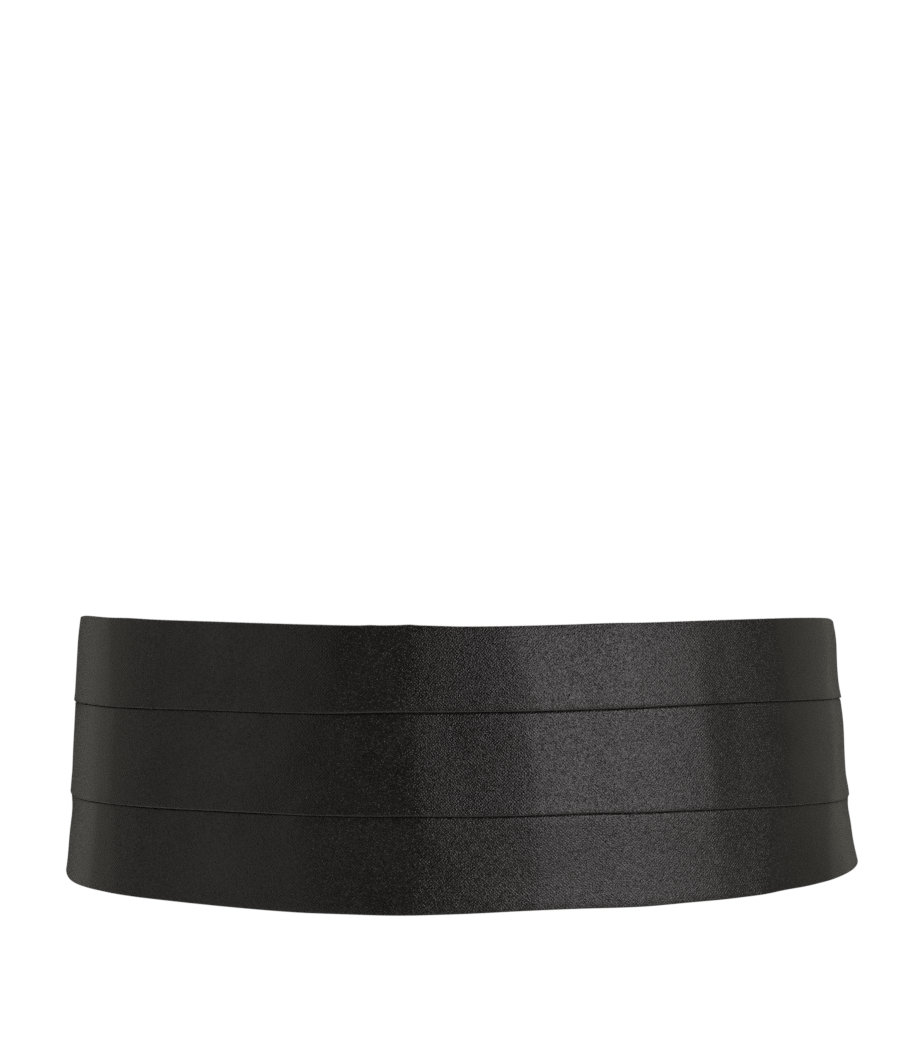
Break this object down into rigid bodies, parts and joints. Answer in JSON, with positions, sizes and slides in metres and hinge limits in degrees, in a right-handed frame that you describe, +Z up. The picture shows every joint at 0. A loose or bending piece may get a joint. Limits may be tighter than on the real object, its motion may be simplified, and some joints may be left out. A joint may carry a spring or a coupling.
{
  "type": "cummerbund",
  "caption": "Pleated black satin cummerbund, hollow as worn, with a full front tapering to straps that hook together at the back.",
  "frame": {"origin": "middle of the hollow, on the waist line at mid-height of the front and of the straps", "axes": "+Z up as worn; the pleated front faces -Y; the hook is on the +X side of centre back"},
  "size_m": [0.3456, 0.2357, 0.1161],
  "materials": {
    "satin": "black satin weave with a soft sheen",
    "webbing": "black elastic webbing",
    "black_metal": "black lacquered steel"
  },
  "bodies": {
    "root": {"pleated_front": "satin", "loop_strap": "webbing", "hook_strap": "webbing", "eye_loop": "black_metal", "hook_slide": "black_metal"}
  },
  "joints": []
}
